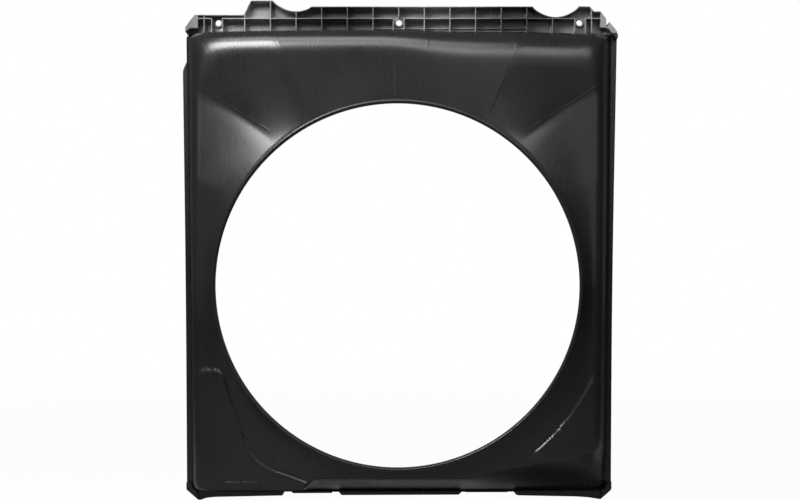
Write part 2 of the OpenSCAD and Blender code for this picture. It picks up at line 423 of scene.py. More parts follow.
class NodeTree:
    """The shader nodes of one material or world."""

    def __init__(self, tree: bpy.types.NodeTree) -> None:
        """Keeps the tree."""
        self.tree = tree

    def put(self, node: bpy.types.Node, inputs: dict[str | int, object]) -> bpy.types.Node:
        """Sets or links a node's inputs.

        Args:
            node: the node.
            inputs: for an input's name or number, its value, or the socket that feeds it.

        Returns:
            The same node.
        """
        for key, value in inputs.items():
            if isinstance(value, bpy.types.NodeSocket):
                self.tree.links.new(value, node.inputs[key])
            else:
                node.inputs[key].default_value = value
        return node

    def add(self, kind: str, inputs: dict[str | int, object], **options: object) -> bpy.types.Node:
        """Adds a node.

        Args:
            kind: its type, without the words that every shader node's type starts with.
            inputs: what put() takes.
            options: the node's own settings, set before its inputs.

        Returns:
            The node.
        """
        node = self.tree.nodes.new(f"ShaderNode{kind}")
        for name, value in options.items():
            setattr(node, name, value)
        return self.put(node, inputs)


@dataclass(frozen=True)
class SatinMoulding:
    """Black polypropylene as it leaves the mould: satin on the hood; the ribbed rail has dust and a
    painted sheen.

    Broad clouds tint it, fine streaks follow the way it flowed, and a grain covers it. Bumps are
    given as strength and height.
    """

    colour: Colour = (0.0095, 0.0095, 0.0102)
    bloom: Colour = (0.0145, 0.0145, 0.0155)
    bloom_most: float = 0.7
    # Grey of the rail: dust plus a painted sheen of the overhead light on the matt rail.
    dust_sheen_grey: Colour = (0.26, 0.26, 0.265)
    rail_from: float = 0.620
    # A cosine along the rail makes the painted sheen lighter and darker, as the overhead light falls on
    # it.
    wave_length: float = 0.45
    wave_low: float = -0.15
    wave_swing: float = 0.36
    wave_middle: float = 0.48
    speckle: float = 0.5
    roughness: float = 0.27
    cloud_roughness: tuple[float, float] = (-0.03, 0.05)
    streak_roughness: float = 0.015
    cloud_scale: float = 5.0
    streak_pitch: float = 0.004
    streak_stretch: tuple[float, float, float] = (10.0, 2.0, 0.6)
    streak_bump: tuple[float, float] = (0.04, 0.0006)
    grain_pitch: float = 0.0011
    grain_bump: tuple[float, float] = (0.10, 0.0002)
    even: tuple[float, float, float] = (1.0, 1.0, 1.0)

    def build(self) -> bpy.types.Material:
        """Makes the material.

        Returns:
            A material that reads Object coordinates only.
        """
        material = bpy.data.materials.new("satin_moulding")
        material.use_nodes = True
        nodes = NodeTree(material.node_tree)
        place = nodes.add("TexCoord", {}).outputs["Object"]

        def noise(scale: float, stretch: tuple[float, float, float], detail: float) -> bpy.types.Node:
            """A noise texture on stretched Object coordinates.

            Args:
                scale: patterns in a metre.
                stretch: how much denser the pattern is along X, Y and Z.
                detail: its octaves.

            Returns:
                The texture's node.
            """
            mapping = nodes.add("Mapping", {"Vector": place, "Scale": stretch})
            vector = mapping.outputs["Vector"]
            return nodes.add("TexNoise", {"Vector": vector, "Scale": scale, "Detail": detail})

        def ramp(source: bpy.types.Node, low: float, high: float) -> bpy.types.NodeSocket:
            """Maps a texture's middle range to low and high.

            Args:
                source: the texture.
                low: what its darker parts become.
                high: what its lighter parts become.

            Returns:
                The mapped value's socket.
            """
            limits = {"From Min": 0.3, "From Max": 0.7, "To Min": low, "To Max": high}
            node = nodes.add("MapRange", {"Value": source.outputs["Fac"], **limits})
            return node.outputs["Result"]

        cloud = noise(self.cloud_scale, self.even, 4.0)
        streak = noise(1.0 / self.streak_pitch / self.streak_stretch[0], self.streak_stretch, 3.0)
        grain = noise(1.0 / self.grain_pitch, self.even, 2.0)

        tints = {"A": (*self.colour, 1.0), "B": (*self.bloom, 1.0)}
        share = ramp(cloud, 0.0, self.bloom_most)
        tint = nodes.add("Mix", {"Factor": share, **tints}, data_type="RGBA")
        # Painted sheen: the rail's grey mixes dust with a painted sheen of the overhead light.
        dust_sheen_mix = nodes.add("Mix", {
            "Factor": self.rail_dust_and_sheen(nodes, place, grain), "A": tint.outputs["Result"],
            "B": (*self.dust_sheen_grey, 1.0),
        }, data_type="RGBA")
        rough = nodes.add("Math", {
            0: ramp(streak, -self.streak_roughness, self.streak_roughness),
            1: ramp(cloud, *(self.roughness + change for change in self.cloud_roughness)),
        }, operation="ADD")
        fine = nodes.add("Bump", {
            "Strength": self.grain_bump[0], "Distance": self.grain_bump[1],
            "Height": grain.outputs["Fac"],
        })
        flow = nodes.add("Bump", {
            "Strength": self.streak_bump[0], "Distance": self.streak_bump[1],
            "Height": streak.outputs["Fac"], "Normal": fine.outputs["Normal"],
        })
        nodes.put(material.node_tree.nodes["Principled BSDF"], {
            "Base Color": dust_sheen_mix.outputs["Result"], "Roughness": rough.outputs["Value"],
            "Normal": flow.outputs["Normal"],
        })
        return material

    def rail_dust_and_sheen(
        self, nodes: NodeTree, place: bpy.types.NodeSocket, grain: bpy.types.Node
    ) -> bpy.types.NodeSocket:
        """How much grey shows on the matt rail: dust and a painted sheen of the overhead light.

        The share is (middle - swing times the cosine of the place along the rail, as an angle) times
        the grain's speckle, above the hood's top wall, and nothing on the hood.

        Args:
            nodes: the material's nodes.
            place: its Object coordinates.
            grain: its finest noise.

        Returns:
            The share of dust and painted sheen, from 0 to 1.
        """

        def sum_of(
            kind: str, first: bpy.types.NodeSocket, second: object, clamp: bool = False
        ) -> bpy.types.NodeSocket:
            """One sum on a socket and a number or another socket.

            Args:
                kind: the sum's name.
                first: its first term.
                second: its second term.
                clamp: whether the result is kept between 0 and 1.

            Returns:
                The result's socket.
            """
            node = nodes.add("Math", {0: first, 1: second}, operation=kind, use_clamp=clamp)
            return node.outputs["Value"]

        split = nodes.add("SeparateXYZ", {"Vector": place})
        # The cosine makes the painted sheen lighter and darker along the rail.
        turn = sum_of("SUBTRACT", split.outputs["X"], self.wave_low)
        turn = sum_of("MULTIPLY", turn, 2 * math.pi / self.wave_length)
        wave = sum_of("MULTIPLY", sum_of("COSINE", turn, 0.0), -self.wave_swing)
        wave = sum_of("ADD", wave, self.wave_middle)
        speckle = sum_of("ADD", grain.outputs["Fac"], self.speckle)
        rail = sum_of("GREATER_THAN", split.outputs["Z"], self.rail_from)
        wave = sum_of("MULTIPLY", wave, speckle, clamp=True)
        return sum_of("MULTIPLY", wave, rail, clamp=True)


@dataclass(frozen=True)
class StudioWhite:
    """White paper of the floor: nearly pure white to the camera, darker paper to everything else.

    The camera sees a share of plain white, which grows with the distance from the object, and the
    rest is paper, which takes the object's shadow.
    """

    colour: Colour = (0.8, 0.8, 0.8)
    far: Colour = (0.3, 0.3, 0.3)
    roughness: float = 0.9
    glow: float = 0.965
    fade: tuple[float, float] = (1.5, 7.0)

    def build(self) -> bpy.types.Material:
        """Makes the material.

        Returns:
            A material that mixes paper with plain white for camera rays.
        """
        material = bpy.data.materials.new("studio_white")
        material.use_nodes = True
        nodes = NodeTree(material.node_tree)
        camera_ray = nodes.add("LightPath", {}).outputs["Is Camera Ray"]
        place = nodes.add("TexCoord", {}).outputs["Object"]
        away = nodes.add("VectorMath", {0: place}, operation="LENGTH")
        fade = nodes.add("MapRange", {
            "Value": away.outputs["Value"], "From Min": self.fade[0], "From Max": self.fade[1],
            "To Min": self.glow, "To Max": 1.0,
        }, interpolation_type="SMOOTHSTEP")
        share = nodes.add("Math", {0: camera_ray, 1: fade.outputs["Result"]}, operation="MULTIPLY")
        tones = {"A": (*self.far, 1.0), "B": (*self.colour, 1.0)}
        tone = nodes.add("Mix", {"Factor": camera_ray, **tones}, data_type="RGBA")
        paper = nodes.put(material.node_tree.nodes["Principled BSDF"], {
            "Base Color": tone.outputs["Result"], "Roughness": self.roughness,
        })
        white = nodes.add("Emission", {"Color": WHITE})
        mix = nodes.add("MixShader", {
            "Fac": share.outputs["Value"], 1: paper.outputs["BSDF"], 2: white.outputs["Emission"],
        })
        nodes.put(material.node_tree.nodes["Material Output"], {"Surface": mix.outputs["Shader"]})
        return material


# The moulding's shared sizes, in millimetres


@dataclass(frozen=True)
class Frame:
    """Sizes that the hood, the flange and the rail share."""

    wall: float = 3.0
    ring_r: float = 430.0
    ring_back: float = 13.0
    ring_fillet: float = 8.0
    bead_r: float = 3.5
    hood_depth: float = 161.0
    top_land: float = 188.0
    bottom_land: float = 76.0
    side_land: float = 107.5
    side_taper: float = 26.5
    flange_shift: float = 2.0
    flange_strip: float = 15.0
    draft_side: float = 30.0
    shoulder_side: float = 22.0

    @property
    def face_y(self) -> float:
        """Depth of the hood's face at the ring."""
        return self.ring_back - 1.0 - self.wall

    @property
    def back_y(self) -> float:
        """Depth of the plane that lies against the radiator."""
        return self.face_y + self.hood_depth

    @property
    def hood_top(self) -> float:
        """Height of the hood's top wall."""
        return self.ring_r + self.top_land

    @property
    def hood_bottom(self) -> float:
        """Depth of the hood's bottom wall below the ring's middle."""
        return self.ring_r + self.bottom_land

    @property
    def top_half(self) -> float:
        """Half the moulding's width at the hood's top wall."""
        return self.ring_r + self.side_land

    @property
    def low_half(self) -> float:
        """Half the moulding's width at the hood's bottom wall."""
        return self.top_half - self.side_taper / 2.0

    def share_at(self, z: float) -> float:
        """Share of the way from the hood's bottom wall to its top wall."""
        return (z + self.hood_bottom) / (self.hood_top + self.hood_bottom)

    def half_at(self, z: float) -> float:
        """Half the moulding's width at a height."""
        return self.low_half + (self.top_half - self.low_half) * self.share_at(z)

    def left_at(self, z: float) -> float:
        """The flange's left edge at a height."""
        return self.flange_shift * self.share_at(z) - self.half_at(z)

    def right_at(self, z: float) -> float:
        """The flange's right edge at a height."""
        return self.flange_shift * self.share_at(z) + self.half_at(z)

    def foot(self, steps: int) -> np.ndarray:
        """The hood's foot: where its wall meets the flange.

        Args:
            steps: intervals in each rounded corner.

        Returns:
            The closed contour in X and Z.
        """
        low, top = self.hood_bottom, self.hood_top
        return soften([
            (-self.base_half(-low), -low, 18), (self.base_half(-low), -low, 18),
            (self.base_half(top), top, 13), (-self.base_half(top), top, 13),
        ], steps)

    def base_half(self, z: float) -> float:
        """Half the width of the hood's foot at a height."""
        return self.half_at(z) - self.flange_strip

    def edge_half(self, z: float) -> float:
        """Half the width at the sharp edge before rounding."""
        return self.base_half(z) - self.draft_side

    def face_half(self, z: float) -> float:
        """Half the width of the face inside the rounded shoulder."""
        return self.edge_half(z) - self.shoulder_side


@dataclass
class Moulded:
    """What every piece of the moulding shares: its finish, its sizes, its body and the imported part
    that it hides.
    """

    finish: bpy.types.Material
    frame: Frame = field(default_factory=Frame)

    def dress(self, obj: bpy.types.Object) -> bpy.types.Object:
        """Gives a finished mesh its material and body, and hides the imported part that it stands in
        for.

        Args:
            obj: the piece.

        Returns:
            The same piece.
        """
        obj.data.materials.clear()
        obj.data.materials.append(self.finish)
        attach(obj, BODY)
        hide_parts(NODE)
        LOG.info("%s: %d faces", obj.name, len(obj.data.polygons))
        return obj


@dataclass
class Hood(Moulded):
    """The box-shaped hood: face, rounded shoulders and leaning walls, as one closed shell.

    It is drawn as sections from the ring to the flange. The steps between their directions are in
    degrees, and the seams are lines from one x, z to another.
    """

    draft_top: float = 8.0
    draft_bottom: float = 49.0
    draft_left: float = 21.0
    shoulder_top: float = 60.0
    ridge: float = 8.0
    corner_fall: float = 36.0
    plateau_rise: float = 5.0
    plateau_land: float = 81.0
    bar_rise: float = 2.0
    bar_seat: float = 2.0
    bar_h: float = 15.0
    bar_round: float = 1.5
    corner_steps: int = 14
    face_rows: int = 40
    shoulder_rows: int = 18
    wall_rows: int = 8
    foot_rows: int = 5
    lining_every: int = 3
    turn_step: float = 0.75
    seam_step: float = 0.13
    least_step: float = 0.09
    foot_flare: float = 5.0
    right_sag: float = 30.0
    face_power: float = 1.7
    corner_dish: float = 0.7
    crease_lean: float = 6.0
    crease_width: float = 12.0
    plateau_tops: tuple[float, float] = (-199.0, -190.0)
    plateau_round: float = 14.0
    step_width: float = 6.0
    ring_overlap: float = 6.0
    back_gap: float = 0.6
    seam_h: float = 0.45
    seam_w: float = 1.3
    seam_fade: float = 12.0
    seams: tuple[tuple[float, float, float, float], ...] = (
        (-292.0, 597.0, -225.0, 456.0), (289.0, 587.0, 216.0, 403.0),
        (-481.0, 476.0, -301.0, 365.0), (487.0, 482.0, 310.0, 369.0),
        (71.0, 597.0, 71.0, 542.0), (-71.5, 563.0, -71.5, 537.0), (-7.5, 533.0, -7.5, 441.0),
    )

    def contours(self) -> tuple[np.ndarray, np.ndarray, np.ndarray]:
        """The foot, the sharp edge before rounding and the face's rim.

        Returns:
            Three closed contours in X and Z.
        """
        f = self.frame
        low, top = f.hood_bottom, f.hood_top
        edge_top = top - self.draft_top
        edge_low = self.draft_bottom - low
        left_low = self.draft_left - low
        edge = [
            (-f.edge_half(left_low), left_low, 24),
            (-222, left_low, 12), (-198, edge_low, 12),
            (180, edge_low, 14), (210, edge_low + 13, 14), (368, edge_low + 45, 30),
            (f.edge_half(edge_low + 66), edge_low + 66, 30),
            (f.edge_half(edge_top), edge_top, 26), (-f.edge_half(edge_top), edge_top, 26),
        ]
        face_top = edge_top - self.shoulder_top
        r = self.ridge
        face = [
            (-f.face_half(left_low), left_low + r, 24),
            (-224, left_low + r, 12), (-200, edge_low + r, 12),
            (178, edge_low + r, 14), (207, edge_low + 13 + r, 14), (366, edge_low + 45 + r, 30),
            (f.face_half(edge_low + 66), edge_low + 66 + r, 30),
            (f.face_half(face_top), face_top - self.right_sag, 70),
            (120, face_top - self.right_sag, 60), (0, face_top, 60),
            (-f.face_half(face_top), face_top, 110),
        ]
        n = self.corner_steps
        return f.foot(n), soften(edge, n), soften(face, n)

    def directions(self) -> np.ndarray:
        """Directions round the ring in which the hood is drawn, closer at corners and seams.

        Returns:
            The directions, as angles in radians in rising order.
        """
        even = np.radians(np.arange(0.0, 360.0, self.turn_step))
        corners = [np.arctan2(c[:, 1], c[:, 0]) % (2 * math.pi) for c in self.contours()]
        fine = []
        for x_a, z_a, x_b, z_b in self.seams:
            low, high = sorted([math.degrees(math.atan2(z_a, x_a)), math.degrees(math.atan2(z_b, x_b))])
            fine.append(np.radians(np.arange(low - 0.5, high + 0.5, self.seam_step)))
        angles = np.sort(np.concatenate([even, *corners, *fine]))
        keep = [angles[0]]
        for a in angles[1:]:
            if a - keep[-1] > math.radians(self.least_step):
                keep.append(a)
        return np.array(keep)

    def seam_lines(self, x: np.ndarray, z: np.ndarray) -> np.ndarray:
        """Height of the fine raised lines that the mould's seams leave on the face.

        Each line's section is a bell curve of the distance from it, faded out at both ends.

        Args:
            x: places across the width.
            z: their heights.

        Returns:
            One height per place.
        """
        height = np.zeros_like(x)
        for x_a, z_a, x_b, z_b in self.seams:
            length = math.hypot(x_b - x_a, z_b - z_a)
            ux, uz = (x_b - x_a) / length, (z_b - z_a) / length
            along = (x - x_a) * ux + (z - z_a) * uz
            off = (x - x_a) * uz - (z - z_a) * ux
            fade = self.seam_fade
            ends = smoothstep(along / fade) * smoothstep((length - along) / fade)
            height = np.maximum(height, self.seam_h * np.exp(-((off / self.seam_w) ** 2)) * ends)
        return height

    def rim_fall(self, degrees: np.ndarray) -> np.ndarray:
        """How far the face's rim lies behind the ring's face, by direction.

        Straight lines between a few directions, blended by a bell curve over a degree or so.

        Args:
            degrees: the directions, in degrees.

        Returns:
            One distance per direction.
        """
        turns = [0, 28, 44, 63, 90, 117, 136, 152, 180, 205, 240, 270, 300, 320, 340, 360]
        fall = [8, 16, self.corner_fall, 2, 0, 2, self.corner_fall, 16, 8, 12, 6, 0, 4, 12, 10, 8]
        shifts = np.linspace(-1.6, 1.6, 9)
        blend = 0.9
        weights = np.exp(-((shifts / blend) ** 2))
        total = sum(
            w * np.interp((degrees + s) % 360.0, turns, fall) for s, w in zip(shifts, weights)
        )
        return total / weights.sum()

    def plateau(self, x: np.ndarray, z: np.ndarray) -> np.ndarray:
        """How far the two lower corner plateaus stand out at a point of the face.

        The distance inside the plateau's outline is taken from its curved step and from its level
        top end, the corner between them is rounded, and the height follows a smooth step.

        Args:
            x: places across the width.
            z: their heights.

        Returns:
            One distance per place.
        """
        degrees = np.degrees(np.arctan2(z, x)) % 360.0
        r = np.hypot(x, z)
        left_turns = [200, 207, 214, 221, 226, 230, 234, 241, 249, 252]
        left_r = [32, 33, 45, 64, 88, 101, 102, 86, 81, 81]
        shifts = np.linspace(-3.0, 3.0, 7)
        left = sum(np.interp(degrees + s, left_turns, left_r) for s in shifts) / len(shifts)
        left = left + self.frame.ring_r
        is_left = (degrees > 180.0) & (degrees < 270.0)
        inside_step = r - np.where(is_left, left, self.frame.ring_r + self.plateau_land)
        inside_top = np.where(is_left, *self.plateau_tops) - z
        near = np.where(is_left, degrees - 250.0, 307.0 - degrees) * -8.0
        rounding = self.plateau_round
        corner = rounding - np.hypot(
            np.maximum(rounding - inside_step, 0.0), np.maximum(rounding - inside_top, 0.0)
        )
        both = np.minimum(inside_step, inside_top)
        depth = np.where((inside_step < rounding) & (inside_top < rounding), corner, both)
        ends = smoothstep(near / 30.0)
        lower = (z < -150.0).astype(float)
        return self.plateau_rise * smoothstep(depth / self.step_width + 0.5) * ends * lower

    def skin(self, angles: np.ndarray) -> tuple[np.ndarray, np.ndarray]:
        """Outer sections of the hood in every direction.

        Each section runs from the ring over the face, whose depth falls back as 1 - (1 - t)^p with
        a greater p at the upper corners, round the shoulder, which is a parabola, down the straight
        wall and out into the flange.

        Args:
            angles: the directions in radians.

        Returns:
            Distance from the axis and depth of each point, one row per direction.
        """
        f = self.frame
        base, edge, face = self.contours()
        b, c, rim = reach(base, angles), reach(edge, angles), reach(face, angles)
        degrees = np.degrees(angles) % 360.0
        start = f.ring_r + f.wall + f.ring_fillet - 1.0
        t = np.linspace(0.0, 1.0, self.face_rows)[None, :]
        r_face = start + (rim - start)[:, None] * t
        left, right = (np.exp(-(((degrees - d) / self.crease_width) ** 2)) for d in (135.0, 45.0))
        lean = left - right
        crease = degrees[:, None] + self.crease_lean * lean[:, None] * (1.0 - t)
        power = self.face_power + self.corner_dish * np.abs(lean)[:, None]
        fall = self.rim_fall(crease) * (1.0 - (1.0 - t) ** power)
        x, z = r_face * np.cos(angles)[:, None], r_face * np.sin(angles)[:, None]
        y_face = f.face_y + fall - self.plateau(x, z)
        y_edge = y_face[:, -1]
        foot_y = f.back_y - f.wall
        length = np.hypot(b - c, foot_y - y_edge)
        along = np.minimum(0.8, (c - rim) / length)
        k = np.linspace(0.0, 1.0, self.shoulder_rows + 1)[None, 1:]
        to_r = c + (b - c) * along
        to_y = y_edge + (foot_y - y_edge) * along
        r_shoulder = parabola(rim[:, None], c[:, None], to_r[:, None], k)
        y_shoulder = parabola(y_edge[:, None], y_edge[:, None], to_y[:, None], k)
        w = np.linspace(0.0, 1.0, self.wall_rows + 1)[None, 1:]
        flare = self.foot_flare
        end_share = 1.0 - flare / (foot_y - to_y)[:, None]
        r_wall = to_r[:, None] + (b - to_r)[:, None] * w * end_share
        y_wall = to_y[:, None] + (foot_y - to_y)[:, None] * w * end_share
        q = np.linspace(0.0, 1.0, self.foot_rows + 1)[None, 1:]
        r_end, y_end = r_wall[:, -1:], y_wall[:, -1:]
        r_foot = parabola(r_end, b[:, None], b[:, None] + flare, q)
        y_foot = parabola(y_end, foot_y, foot_y, q)
        first = np.full((len(angles), 1), start - self.ring_overlap)
        r = np.hstack([first, r_face, r_shoulder, r_wall, r_foot])
        y = np.hstack([np.full_like(first, f.face_y), y_face, y_shoulder, y_wall, y_foot])
        y -= self.seam_lines(r * np.cos(angles)[:, None], r * np.sin(angles)[:, None])
        return r, y

    def bar(self) -> bpy.types.Object:
        """The small bar on the lower left plateau, set into the hood's face.

        Returns:
            The bar, a little narrower at its top than at its foot.
        """
        f, corner = self.frame, self.bar_round
        low = self.draft_left - f.hood_bottom + self.ridge - 2.0
        high = low + self.bar_h
        corners = [
            (-415.0, low, corner), (-321.0, low, corner),
            (-329.0, high, corner), (-407.0, high, corner),
        ]
        front = f.face_y + self.bar_seat - self.bar_rise
        bar = prism("plateau_bar", soften(corners, 4), front + f.wall + 1.0, front)
        round_edges(bar, 0.8)
        return bar

    def build(self) -> list[bpy.types.Object]:
        """Makes the shell, which is the outer skin and the same skin moved in by the wall, and the bar.

        The lining's points stand at the wall's distance square to the skin, one row in a few.

        Returns:
            The hood and its bar.
        """
        f = self.frame
        angles = self.directions()
        r, y = self.skin(angles)
        keep = r.shape[1] - self.foot_rows
        lining_rows = np.unique(np.concatenate([np.arange(0, keep, self.lining_every), [keep - 1]]))
        dr = np.gradient(r[:, :keep], axis=1)
        dy = np.gradient(y[:, :keep], axis=1)
        length = np.maximum(np.hypot(dr, dy), 1e-9)
        in_r = (r[:, :keep] - dy / length * f.wall)[:, lining_rows]
        in_y = (y[:, :keep] + dr / length * f.wall)[:, lining_rows]
        in_r, in_y = in_r[:, ::-1], in_y[:, ::-1]
        end_r = np.stack([r[:, -1], in_r[:, 0]], axis=1)
        end_y = np.full_like(end_r, f.back_y - self.back_gap)
        all_r = np.hstack([r, end_r, in_r])
        all_y = np.hstack([y, end_y, in_y])
        x, z = all_r * np.cos(angles)[:, None], all_r * np.sin(angles)[:, None]
        points = np.stack([x, all_y, z], axis=2).reshape(-1, 3)
        quads = outward(points, grid_faces(len(angles), all_r.shape[1], True, True))
        return [self.dress(mesh_object("hood_shell", points, quads, 40.0)), self.dress(self.bar())]


@dataclass
class FanRing(Moulded):
    """The round collar that the fan turns in, with a rolled bead at its free end."""

    turns: int = 480

    def build(self) -> list[bpy.types.Object]:
        """Carries the collar's closed section round the fan's axis.

        Returns:
            The ring.
        """
        f = self.frame
        free, face = f.ring_back, -f.face_y

        def arc(r: float, t: float, radius: float, start: float, end: float, steps: int) -> np.ndarray:
            """Points of an arc in the plane of distance from the axis and height to the fan.

            Args:
                r: distance of its middle from the axis.
                t: height of its middle.
                radius: its radius.
                start: angle of its first point, in degrees.
                end: angle of its last point.
                steps: number of points.

            Returns:
                Distance and height of each point.
            """
            a = np.radians(np.linspace(start, end, steps))
            return np.stack([r + radius * np.cos(a), t + radius * np.sin(a)], axis=1)

        bead = arc(f.ring_r + f.bead_r, free - f.bead_r, f.bead_r, 180, -98, 24)
        fillet = arc(
            f.ring_r + f.wall + f.ring_fillet, face + f.ring_fillet, f.ring_fillet, 180, 268, 10
        )
        bore = np.stack(
            [np.full(8, f.ring_r), np.linspace(-f.ring_back + 0.8, free - f.bead_r - 0.5, 8)], axis=1
        )
        tail = np.array([
            [fillet[-1, 0], face - f.wall / 2], [f.ring_r + f.wall, face - f.wall / 2],
            [f.ring_r + f.wall, -f.ring_back + 0.6], [f.ring_r + f.wall - 0.6, -f.ring_back],
            [f.ring_r + 0.8, -f.ring_back],
        ])
        section = np.vstack([bore, bead, fillet, tail])
        points, quads = turned(section * [1.0, -1.0], 0.0, 0.0, self.turns)
        return [self.dress(mesh_object("fan_ring", points, quads, 35.0))]


@dataclass
class Rail(Moulded):
    """The flange round the hood and the ribbed rail above it, with its lip, boxes and pads."""

    rail_h: float = 67.0
    tab_rise: float = 15.0
    low_drop: float = 20.0
    flange_drop: float = 14.0
    rib_depth: float = 30.0
    rib_t: float = 2.6
    rib_pitch: float = 63.0
    level_rise: float = 36.0
    hole_rise: float = 31.0
    hole_inset: float = 91.5
    hole_d: float = 15.0
    boss_half: float = 12.0
    pad_h: float = 6.0
    lug_h: float = 9.0
    relief_h: float = 92.0
    relief_depth: float = 12.5
    last_rib: int = 6
    boss_turns: int = 56
    waist: tuple[float, float] = (2.0, 3.5)
    waist_bend: float = 240.0

    @property
    def rail_top(self) -> float:
        """Height of the rail's long edge."""
        return self.frame.hood_top + self.rail_h

    @property
    def low_edge(self) -> float:
        """Height of the low edge on the left."""
        return self.rail_top - self.low_drop

    @property
    def right_edge(self) -> float:
        """Height of the edge over the right corner pad."""
        return self.rail_top - 11.5

    @property
    def level_z(self) -> float:
        """Height of the level rib's underside."""
        return self.frame.hood_top + self.level_rise

    @property
    def hole_z(self) -> float:
        """Height of the bolt holes."""
        return self.frame.hood_top + self.hole_rise

    @property
    def hole_xs(self) -> tuple[float, float, float]:
        """Where the three bolt holes stand along the rail."""
        far = self.frame.top_half - self.hole_inset
        return (-far, 0.0, far)

    @property
    def end_ribs(self) -> tuple[float, float]:
        """The ribs beyond the outer bolt holes."""
        return (self.hole_xs[0] - 32.0, self.hole_xs[2] + 28.0)

    @property
    def web_ends(self) -> tuple[float, float]:
        """Where the web ends and the corner pads begin."""
        return (self.hole_xs[0] - 47.0, self.hole_xs[2] + 49.0)

    def outline(self, steps: int = 6) -> np.ndarray:
        """The flange's and the rail's outline, clockwise from the lower left corner.

        Args:
            steps: intervals in each rounded corner.

        Returns:
            The closed outline in X and Z.
        """
        f, top = self.frame, self.rail_top
        low_edge, right_edge = self.low_edge, self.right_edge
        low, foot = -f.hood_bottom - self.flange_drop, -f.hood_bottom
        th, lh = f.top_half, f.low_half
        relief_top = f.hood_top + 6.0
        relief_low = relief_top - self.relief_h
        relief_x = f.left_at(relief_low) + self.relief_depth

        def dip(x: float, w: float, z_a: float, z_b: float, drop: float) -> list:
            """A rounded dip: the edge's straight line less drop times the sine of the way to 0.75.

            Args:
                x: where it begins.
                w: its width.
                z_a: the edge's height where it begins.
                z_b: the edge's height where it ends.
                drop: its depth.

            Returns:
                Corners as (x, z, 0), because they are close enough to need no rounding.
            """
            k = np.linspace(0.0, 1.0, 25)
            z = z_a + (z_b - z_a) * k - drop * np.abs(np.sin(np.pi * k)) ** 0.75
            return np.stack([x + w * k, z, np.zeros_like(k)], axis=1).tolist()

        step_left = [
            (142, 1), (150, 10.5), (163, 11.5), (166, 6.2), (262, 5.6), (268, 11.7), (282, 11.7),
            (288, 0), (455, -3.5), (477, -6),
        ]
        step_right = [
            (470, -4.5), (440, -2.5), (296, 0.3), (290, 2), (280, 14), (272, 14), (268, 8.2),
            (166, 8.2), (157, 10.5), (148, 2),
        ]
        corners = [
            (32 - lh, low - 11.5, 2), (-lh - 0.5, foot + 2, 4), (-lh, foot + 17, 3),
            (f.left_at(foot + 28), foot + 28, 2),
            (f.left_at(0.0) + self.waist[0], 0.0, self.waist_bend),
            (f.left_at(relief_low), relief_low, 6), (relief_x - 1, relief_low + 26, 8),
            (relief_x, relief_top - 24, 8), (relief_x - 1.5, relief_top - 4, 2),
            (relief_x - 2.5, low_edge - 31, 2), (relief_x + 3, low_edge - 24.5, 1),
            (relief_x + 6.5, low_edge - 18, 2), (relief_x + 21, low_edge, 4),
            (157 - th, low_edge, 2),
            (174 - th, top + self.tab_rise, 3), (229 - th, top + self.tab_rise, 3),
            *dip(231.5 - th, 91, top + 12, top, 17),
            *dip(th - 208.5, 113, top, top + 0.5, 26),
            (th - 68, top + 0.5, 2), (th - 58, right_edge, 2), (th - 42, right_edge, 3),
            (th - 27.5, right_edge - 18, 2), (th - 27.5, right_edge - 37, 2),
            (th - 24, right_edge - 37.5, 1), (th - 20.5, right_edge - 25, 1),
            (th - 1, right_edge - 49, 4), (th + 2, right_edge - 61, 6),
            (th + 1.7, right_edge - 70, 3),
            (f.right_at(0.0) - self.waist[1], 0.0, self.waist_bend),
            (f.right_at(foot + 28), foot + 28, 2), (lh + 1, foot + 17, 3), (lh + 1, foot + 2, 4),
            (lh - 27, low - 9, 3),
            *[(x, low + z, 0.5) for x, z in step_right],
            *[(-x, low + z, 0.5) for x, z in step_left],
        ]
        return soften(corners, steps)

    def plate(self) -> bpy.types.Object:
        """The flange and the rail's web: a closed band between the hood's foot and the outline.

        Each outline point is joined to the foot along the same direction from the fan's axis: a
        row's points are foot + (outline - foot) t - normal times inset, and the rows' t, inset and
        depth follow a section whose outer edge is rounded by quarter circles.

        Returns:
            The plate, before its holes.
        """
        f = self.frame
        outer = resample(self.outline(), 3.0, True)
        base = f.foot(12)
        angles = np.arctan2(outer[:, 1], outer[:, 0])
        r = reach(base, angles) - f.wall - 1.0
        inner = np.stack([r * np.cos(angles), r * np.sin(angles)], axis=1)
        normal = left_normals(outer, True)
        round_r = 0.9
        front, back = f.back_y - f.wall, f.back_y
        turns = np.radians([0, 30, 60, 90])
        rows = [(t, 0.0, front) for t in (0.0, 0.3, 0.6, 0.85)]
        for depth, sign, part in ((front, 1.0, turns), (back, -1.0, turns[::-1])):
            rows += [
                (1.0, round_r * (1 - math.sin(a)), depth + sign * round_r * (1 - math.cos(a)))
                for a in part
            ]
        rows += [(t, 0.0, back) for t in (0.6, 0.0)]
        t, inset, y = (np.array(column)[None, :, None] for column in zip(*rows))
        place = inner[:, None] + (outer - inner)[:, None] * t - normal[:, None] * inset
        depths = np.broadcast_to(y[..., 0], place.shape[:2])
        points = np.stack([place[..., 0], depths, place[..., 1]], axis=2).reshape(-1, 3)
        quads = outward(points, grid_faces(len(outer), len(rows), True, True))
        return mesh_object("flange_plate", points, quads, 50.0)

    def bolt_cutters(self) -> list[bpy.types.Object]:
        """Round tools for the three bolt holes.

        Returns:
            One closed tool per hole, longer than the plate and its bosses are thick.
        """
        f = self.frame
        a = np.linspace(0.0, 2 * math.pi, 64, endpoint=False)
        ring = self.hole_d / 2 * np.stack([np.cos(a), np.sin(a)], axis=1)
        tools = []
        for i, x in enumerate(self.hole_xs):
            place = ring + np.array([x, self.hole_z])
            tools.append(prism(f"hole_tool_{i}", place, f.back_y + 5.0, f.back_y - 12.0))
        return tools

